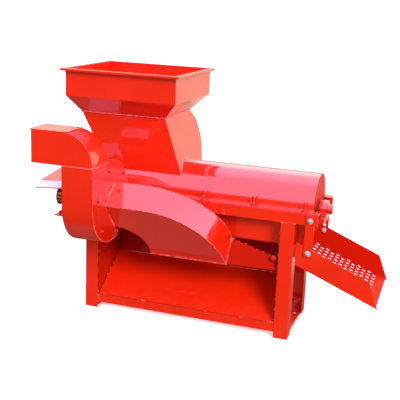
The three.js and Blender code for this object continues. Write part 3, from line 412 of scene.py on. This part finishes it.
# a round or many-sided bar that starts at place, raised by lift, and runs along axis
def disc(mesh, place, axis, radius, height, segments, lift=0.0, bevel=0.0):
    verts = bmesh.ops.create_cone(mesh, cap_ends=True, segments=segments, radius1=radius, radius2=radius,
                                  depth=height)["verts"]
    if bevel:
        edges = {edge for vert in verts for edge in vert.link_edges}
        rim = [edge for edge in edges if abs(edge.verts[0].co.z - edge.verts[1].co.z) < height / 2]
        worked = bmesh.ops.bevel(mesh, geom=rim, offset=bevel, segments=2, profile=0.5, affect="EDGES",
                                 material=-1)
        verts = list(set(worked["verts"]) | {vert for vert in verts if vert.is_valid})
    raised = Matrix.Translation((0, 0, lift + height / 2))
    bmesh.ops.transform(mesh, verts=verts, matrix=Matrix.Translation(place) @ turnTo(axis) @ raised)


fastener = {"washerHeight": 0.0025, "washerSides": 24, "washerBevel": 0.0006, "hexBevel": 0.0009,
            "shankSides": 14, "shankBevel": 0.0008}


# across is the hexagon's width over its flats, hex its height and washer the washer's radius
def hexHead(mesh, place, axis, size):
    disc(mesh, place, axis, size["washer"], fastener["washerHeight"], fastener["washerSides"],
         bevel=fastener["washerBevel"])
    disc(mesh, place, axis, size["across"] / math.sqrt(3), size["hex"], 6, lift=fastener["washerHeight"],
         bevel=fastener["hexBevel"])


def studAndNut(mesh, place, size):
    hexHead(mesh, place, (0, 0, 1), size)
    disc(mesh, place, (0, 0, 1), size["radius"], size["height"], fastener["shankSides"],
         bevel=fastener["shankBevel"])


coverStud = {"across": 0.0185, "hex": 0.010, "washer": 0.0135, "radius": 0.0055, "height": 0.043,
             "x": (-0.393, -0.162, 0.069, 0.300, 0.530), "y": 0.172, "z": 0.5963}
studs = bmesh.new()
for x in coverStud["x"]:
    for side in (-1, 1):
        studAndNut(studs, (x, side * coverStud["y"], coverStud["z"]), coverStud)
finishPiece("coverStuds", studs, paint["stud"], "frame")

bearingBolt = {"across": 0.019, "hex": 0.011, "washer": 0.0135, "radius": 0.006, "height": 0.024,
               "x": (0.590, -0.496), "y": 0.0605, "z": 0.5475}
fanBolt = {"x": -0.478, "y": -0.366, "half": 0.055, "z": 0.5333}
bolts = bmesh.new()
for side in (-1, 1):
    for x in bearingBolt["x"]:
        studAndNut(bolts, (x, side * bearingBolt["y"], bearingBolt["z"]), bearingBolt)
    studAndNut(bolts, (fanBolt["x"], fanBolt["y"] + side * fanBolt["half"], fanBolt["z"]), bearingBolt)
finishPiece("bearingBolts", bolts, paint["stud"], "frame")

plateBolt = {"across": 0.013, "hex": 0.006, "washer": 0.010, "count": 6, "first": 46, "circle": 0.153,
             "x": -0.2852, "y": -0.366, "z": 0.588}
closerBolt = {"across": 0.015, "hex": 0.007, "washer": 0.012, "place": (0.414, -0.1866, 0.372)}
plateBolts = bmesh.new()
for k in range(plateBolt["count"]):
    turn = math.radians(plateBolt["first"] + 360 / plateBolt["count"] * k)
    place = (plateBolt["x"], plateBolt["y"] + plateBolt["circle"] * math.cos(turn),
             plateBolt["z"] + plateBolt["circle"] * math.sin(turn))
    hexHead(plateBolts, place, (1, 0, 0), plateBolt)
hexHead(plateBolts, closerBolt["place"], (0, -1, 0), closerBolt)
finishPiece("inletPlateBolts", plateBolts, paint["stud"], "frame")

hangerBolt = {"across": 0.017, "hex": 0.007, "washer": 0.0135, "radius": 0.0045, "height": 0.0125,
              "sides": 12, "bevel": 0.0006, "x": 0.566, "y": 0.2028, "upper": 0.566, "lower": 0.419}
chuteNut = {"across": 0.016, "hex": 0.006, "washer": 0.012, "y": 0.1955}
hangerBolts = bmesh.new()
chuteBolts = bmesh.new()
for side in (-1, 1):
    for mesh, z in ((hangerBolts, hangerBolt["upper"]), (chuteBolts, hangerBolt["lower"])):
        place = (hangerBolt["x"], side * hangerBolt["y"], z)
        hexHead(mesh, place, (0, side, 0), hangerBolt)
        disc(mesh, place, (0, side, 0), hangerBolt["radius"], hangerBolt["height"], hangerBolt["sides"],
             bevel=hangerBolt["bevel"])
    place = (hangerBolt["x"], side * chuteNut["y"], hangerBolt["lower"])
    hexHead(chuteBolts, place, (0, -side, 0), chuteNut)
zinc = zincFinish()
finishPiece("hangerBolts", hangerBolts, zinc, "frame")
finishPiece("chuteBolts", chuteBolts, zinc, "chute")
print("stage: fasteners")

# weld beads, and dark seam lines that are partly painted shadow

ball = {"least": 0.85, "most": 1.15, "wobble": 0.12, "pitch": 0.0055}


# a line of small uneven balls; run and rest are the lengths of its pieces and of its gaps
def bead(mesh, start, end, radius, pitch=ball["pitch"], run=None, rest=0.0):
    start, end = Vector(start), Vector(end)
    length = (end - start).length
    steps = max(int(length / pitch), 1)
    for k in range(steps + 1):
        along = k * length / steps
        if run and along % (run + rest) > run:
            continue
        size = radius * random.uniform(ball["least"], ball["most"])
        made = bmesh.ops.create_icosphere(mesh, subdivisions=1, radius=size)
        wobble = Vector([random.uniform(-ball["wobble"], ball["wobble"]) * radius for _ in range(3)])
        bmesh.ops.translate(mesh, verts=made["verts"], vec=start.lerp(end, k / steps) + wobble)


def trail(mesh, points, radius, pitch=ball["pitch"]):
    for start, end in zip(points, points[1:]):
        bead(mesh, start, end, radius, pitch)


def ductEdge(edge, steps=14):  # the same curve as the duct's outer edges in the part's source
    start, end = Vector(edge["start"]), Vector(edge["end"])
    length = (end - start).length
    down = (end - start).normalized()
    stop = math.acos(max(1 - (length - edge["lead"]) / edge["fall"], 0))
    points = [start + down * edge["lead"]]
    for k in range(steps + 1):
        turn = stop * k / steps
        place = start + down * (edge["lead"] + edge["fall"] * (1 - math.cos(turn)))
        place.x = edge["start"][0] + edge["straight"] + (edge["reach"] - edge["straight"]) * math.sin(turn)
        points.append(place)
    return points


weld = {
    "hopperFoot": {"left": -0.546, "right": -0.131, "front": -0.1568, "rear": 0.180, "z": 0.942,
                   "radius": 0.0036, "pitch": 0.0045},
    "outletFoot": {"start": (-0.2872, -0.568, 0.7722), "end": (-0.2872, -0.424, 0.7722), "radius": 0.002},
    "elbowTop": {"start": (-0.4085, -0.567, 0.9168), "end": (-0.4085, -0.424, 0.9168), "radius": 0.003},
    "scroll": {"x": -0.2870, "y": -0.3844, "z": 0.597, "reach": 0.1841, "top": 0.772, "radius": 0.0017,
               "arc": (180, 301, 10)},
    "elbow": {"x": -0.430, "y": -0.5685, "z": 0.7723, "reach": 0.1425, "tip": (-0.573, -0.5685, 0.9160),
              "radius": 0.0017, "arc": (0, 91, 10)},
    "ductUpper": {"start": (-0.2849, -0.359, 0.680), "end": (-0.2849, -0.161, 0.427), "lead": 0.005,
                  "straight": 0.1349, "reach": 0.4959, "fall": 0.310, "radius": 0.0018},
    "ductLower": {"start": (-0.2849, -0.454, 0.591), "end": (-0.2849, -0.225, 0.326), "lead": 0.005,
                  "straight": 0.1749, "reach": 0.4889, "fall": 0.364, "radius": 0.0020},
    "ductStart": {"start": (-0.2822, -0.3575, 0.6785), "end": (-0.2822, -0.4530, 0.5895), "radius": 0.0052,
                  "pitch": 0.003},
    "ductStartLow": {"start": (-0.2840, -0.4515, 0.588), "end": (-0.2840, -0.348, 0.469), "radius": 0.0030},
    "legTop": {"x": 0.468, "half": 0.030, "y": 0.1976, "z": 0.544, "radius": 0.003},
    "legTopSide": {"x": 0.5, "outer": 0.196, "inner": 0.150, "z": 0.544, "radius": 0.003},
    "legFoot": {"x": 0.4372, "y": -0.1930, "bottom": 0.027, "top": 0.067, "radius": 0.003},
    "legTacks": {"x": 0.4356, "y": -0.1945, "bottom": 0.080, "top": 0.530, "radius": 0.0036, "run": 0.006,
                 "rest": 0.045},
    "slideTacks": {"x": (-0.401, -0.203, 0.108, 0.284, 0.412, 0.426), "half": 0.006, "y": -0.1920,
                   "z": 0.0705, "radius": 0.0042},
    "ductMouth": {"start": (-0.155, -0.2266, 0.3250), "end": (0.203, -0.2266, 0.3250), "radius": 0.0036,
                  "pitch": 0.007},
    "throatFoot": {"points": [(-0.0618, -0.1115, 0.6842), (-0.0670, -0.090, 0.7050),
                              (-0.0715, -0.070, 0.7190), (-0.0760, -0.0463, 0.7302),
                              (-0.0775, -0.016, 0.7370), (-0.0775, 0.0162, 0.7370)],
                   "radius": 0.0032, "pitch": 0.004},
    "closerSide": {"points": [(0.2125, -0.1685, 0.4325), (0.2070, -0.2285, 0.3255)], "radius": 0.0050,
                   "pitch": 0.0085},
    "closerTop": {"start": (0.214, -0.1655, 0.432), "end": (0.416, -0.1610, 0.367), "radius": 0.0036,
                  "run": 0.008, "rest": 0.022},
    "finePitch": 0.0035,
}
welds = bmesh.new()

foot = weld["hopperFoot"]
corners = [(foot["left"], foot["front"]), (foot["right"], foot["front"]), (foot["right"], foot["rear"]),
           (foot["left"], foot["rear"]), (foot["left"], foot["front"])]
trail(welds, [(x, y, foot["z"]) for x, y in corners], foot["radius"], foot["pitch"])
bead(welds, **weld["outletFoot"])
bead(welds, **weld["elbowTop"])

scroll = weld["scroll"]
scrollEdge = [(scroll["x"], scroll["y"] - scroll["reach"], scroll["top"])]
for degrees in range(*scroll["arc"]):
    turn = math.radians(degrees)
    scrollEdge.append((scroll["x"], scroll["y"] + scroll["reach"] * math.cos(turn),
                       scroll["z"] + scroll["reach"] * math.sin(turn)))
trail(welds, scrollEdge, scroll["radius"], weld["finePitch"])

elbow = weld["elbow"]
elbowEdge = []
for degrees in range(*elbow["arc"]):
    turn = math.radians(degrees)
    elbowEdge.append((elbow["x"] + elbow["reach"] * math.cos(turn), elbow["y"],
                      elbow["z"] + elbow["reach"] * math.sin(turn)))
trail(welds, elbowEdge + [elbow["tip"]], elbow["radius"], weld["finePitch"])

for edge in (weld["ductUpper"], weld["ductLower"]):
    trail(welds, ductEdge(edge), edge["radius"], weld["finePitch"])
bead(welds, **weld["ductStart"])
bead(welds, **weld["ductStartLow"])

line = weld["legTop"]
for x in (-line["x"], line["x"]):
    for y in (-line["y"], line["y"]):
        bead(welds, (x - line["half"], y, line["z"]), (x + line["half"], y, line["z"]), line["radius"])
line = weld["legTopSide"]
for x in (-line["x"], line["x"]):
    for side in (-1, 1):
        outer, inner = side * line["outer"], side * line["inner"]
        bead(welds, (x, outer, line["z"]), (x, inner, line["z"]), line["radius"])
for side in (-1, 1):
    line = weld["legFoot"]
    bead(welds, (side * line["x"], line["y"], line["bottom"]), (side * line["x"], line["y"], line["top"]),
         line["radius"])
    line = weld["legTacks"]
    bead(welds, (side * line["x"], line["y"], line["bottom"]), (side * line["x"], line["y"], line["top"]),
         line["radius"], run=line["run"], rest=line["rest"])

line = weld["slideTacks"]
for x in line["x"]:
    bead(welds, (x - line["half"], line["y"], line["z"]), (x + line["half"], line["y"], line["z"]),
         line["radius"])
bead(welds, **weld["ductMouth"])
trail(welds, **weld["throatFoot"])
trail(welds, **weld["closerSide"])
bead(welds, **weld["closerTop"])
finishPiece("weldBeads", welds, beadFinish(), "frame")

# dark lines along seams and gaps: partly sealant and bare joints, partly painted shadow in the gaps between
# parts
darkSeam = {
    "bulkhead": {"start": (-0.4335, -0.188, 0.263), "end": (-0.4335, 0.060, 0.274), "radius": 0.0036,
                 "run": 0.02, "rest": 0.012},
    "funnelSide": {"x": 0.4325, "start": (0.040, 0.230), "end": (0.132, 0.430), "radius": 0.0036,
                   "pitch": 0.005},
    "slideSide": {"x": 0.4332, "start": (-0.185, 0.077), "end": (0.045, 0.2235), "radius": 0.0030,
                  "pitch": 0.0045, "run": 0.030, "rest": 0.008},
    "leg": {"x": 0.4362, "start": (-0.1942, 0.070), "end": (-0.1942, 0.543), "radius": 0.0030,
            "pitch": 0.004},
    "slideFoot": {"place": (-0.434, -0.1912, 0.0688), "length": 0.868, "radius": 0.0014},
    "coverFlange": {"x": -0.467, "y": 0.1899, "z": 0.5940, "length": 1.030, "radius": 0.0011},
    "rimFoot": {"left": -0.5865, "right": -0.0545, "y": 0.2398, "z": 1.1314, "radius": 0.0014},
    "sides": 8,
}
seams = bmesh.new()


def sideSeam(side, x, start, end, **size):  # a seam on one side of the frame; start and end give y and z
    bead(seams, (side * x, *start), (side * x, *end), **size)


bead(seams, **darkSeam["bulkhead"])
for side in (-1, 1):
    sideSeam(side, **darkSeam["funnelSide"])
    sideSeam(side, **darkSeam["slideSide"])
for side in (-1, 1):
    sideSeam(side, **darkSeam["leg"])
line = darkSeam["slideFoot"]
disc(seams, line["place"], (1, 0, 0), line["radius"], line["length"], darkSeam["sides"])
line = darkSeam["coverFlange"]
for side in (-1, 1):
    place = (line["x"], side * line["y"], line["z"])
    disc(seams, place, (1, 0, 0), line["radius"], line["length"], darkSeam["sides"])
line = darkSeam["rimFoot"]
for side in (-1, 1):
    place = (line["left"], side * line["y"], line["z"])
    disc(seams, place, (1, 0, 0), line["radius"], line["right"] - line["left"], darkSeam["sides"])
for x in (line["left"], line["right"]):
    disc(seams, (x, -line["y"], line["z"]), (0, 1, 0), line["radius"], 2 * line["y"], darkSeam["sides"])
finishPiece("seamsAndGapShadows", seams, seamFinish(), "frame")
print("stage: weld beads")

# floor

paleFloor = {"size": 2500.0, "low": (0.86, 0.86, 0.86, 1), "high": (0.90, 0.90, 0.90, 1), "rough": 0.9,
             "glow": (1, 1, 1, 1), "glowStrength": 0.3, "under": 0.001}
floorMesh = bmesh.new()
bmesh.ops.create_grid(floorMesh, x_segments=1, y_segments=1, size=paleFloor["size"])
floorData = bpy.data.meshes.new("floor")
floorMesh.to_mesh(floorData)
floorMesh.free()
floor = bpy.data.objects.new("floor", floorData)
bpy.context.scene.collection.objects.link(floor)
floorFinish = Finish("paleFloor")
floorTint = floorFinish.mix(floorFinish.noise(0.6, 2.0), paleFloor["low"], paleFloor["high"])
floorFinish.set(colour=floorTint, rough=paleFloor["rough"], glow=paleFloor["glow"],
                glowStrength=paleFloor["glowStrength"])
floorData.materials.append(floorFinish.material)
floor.location.z = -paleFloor["under"]
floor.visible_glossy = False  # the enamel mirrors the sky's low bands instead of the white floor
floor.visible_diffuse = False  # and the floor doesn't light it from below

# sky: soft bands that the enamel mirrors, with a plain white backdrop behind them

skyLook = {
    "front": (1.10, 0.92, 1.45, 1), "overhead": (1.2, 1.40, 2.15, 1), "skyline": (2.3, 2.3, 2.45, 1),
    "ahead": (0.36, 0.07, 0.03, 1), "behind": (1.2, 0.74, 0.58, 1), "behindNear": (0.45, 0.10, 0.06, 1),
    "ground": (0.55, 0.13, 0.10, 1), "backdrop": (1, 1, 1, 1),
    "horizon": (0.10, 0.17), "rearRise": 0.25, "rearEdge": (0.2, 0.75), "frontEdge": (-0.4, 0.2),
    "nearEdge": (-0.345, -0.31), "groundEdge": (-0.9, -0.75), "skylineEdge": (0.72, 0.9),
}
world = bpy.data.worlds.new("studioSky")
bpy.context.scene.world = world
sky = Finish("studioSky", world)
rise, back = sky.part("Z"), sky.part("Y")
rear = sky.band(back, *skyLook["rearEdge"])
behind = sky.mix(sky.band(rise, *skyLook["nearEdge"]), skyLook["behindNear"], skyLook["behind"])
low = sky.mix(rear, skyLook["ahead"], behind)
low = sky.mix(1 - sky.band(rise, *skyLook["groundEdge"]), low, skyLook["ground"])
high = sky.mix(sky.band(back, *skyLook["frontEdge"]), skyLook["front"], skyLook["overhead"])
high = sky.mix(rear * (1 - sky.band(rise, *skyLook["skylineEdge"])), high, skyLook["skyline"])
around = sky.mix(sky.band(rise - rear * skyLook["rearRise"], *skyLook["horizon"]), low, high)
seen = sky.node("ShaderNodeLightPath", {}, {}, "Is Camera Ray")
sky.feed(sky.shader.inputs["Color"], sky.mix(seen, around, skyLook["backdrop"]))

# sun and camera

softSun = {"strength": 3.3, "angle": 22, "colour": (1, 0.96, 0.90), "place": (3.0, -3.2, 3.0),
           "target": (0, 0, 0.5)}
sunData = bpy.data.lights.new("softSun", "SUN")
sunData.energy = softSun["strength"]
sunData.angle = math.radians(softSun["angle"])
sunData.color = softSun["colour"]
sun = bpy.data.objects.new("softSun", sunData)
sun.location = Vector(softSun["place"]) - origin
toTarget = Vector(softSun["target"]) - Vector(softSun["place"])
sun.rotation_euler = toTarget.to_track_quat("-Z", "Y").to_euler()
sun.visible_glossy = False  # it lights the part, and no finish mirrors it
bpy.context.scene.collection.objects.link(sun)

view = {"place": (1.1329, -3.4765, 1.4998), "azimuth": 18.07, "elevation": 14.65, "roll": 2.44,
        "lens": 71.66, "sensor": 36.0}
turn, tip, roll = (math.radians(view[key]) for key in ("azimuth", "elevation", "roll"))
ahead = Vector((-math.sin(turn) * math.cos(tip), math.cos(turn) * math.cos(tip), -math.sin(tip)))
level = Vector((math.cos(turn), math.sin(turn), 0))
above = level.cross(ahead)
right = level * math.cos(roll) + above * math.sin(roll)
up = above * math.cos(roll) - level * math.sin(roll)
cameraData = bpy.data.cameras.new("photoCamera")
cameraData.lens = view["lens"]
cameraData.sensor_width = view["sensor"]
camera = bpy.data.objects.new("photoCamera", cameraData)
turned = Matrix((right, up, -ahead)).transposed().to_4x4()
camera.matrix_world = Matrix.Translation(Vector(view["place"]) - origin) @ turned
bpy.context.scene.collection.objects.link(camera)
bpy.context.scene.camera = camera
bpy.context.scene.view_settings.view_transform = "Standard"
print("stage: studio")
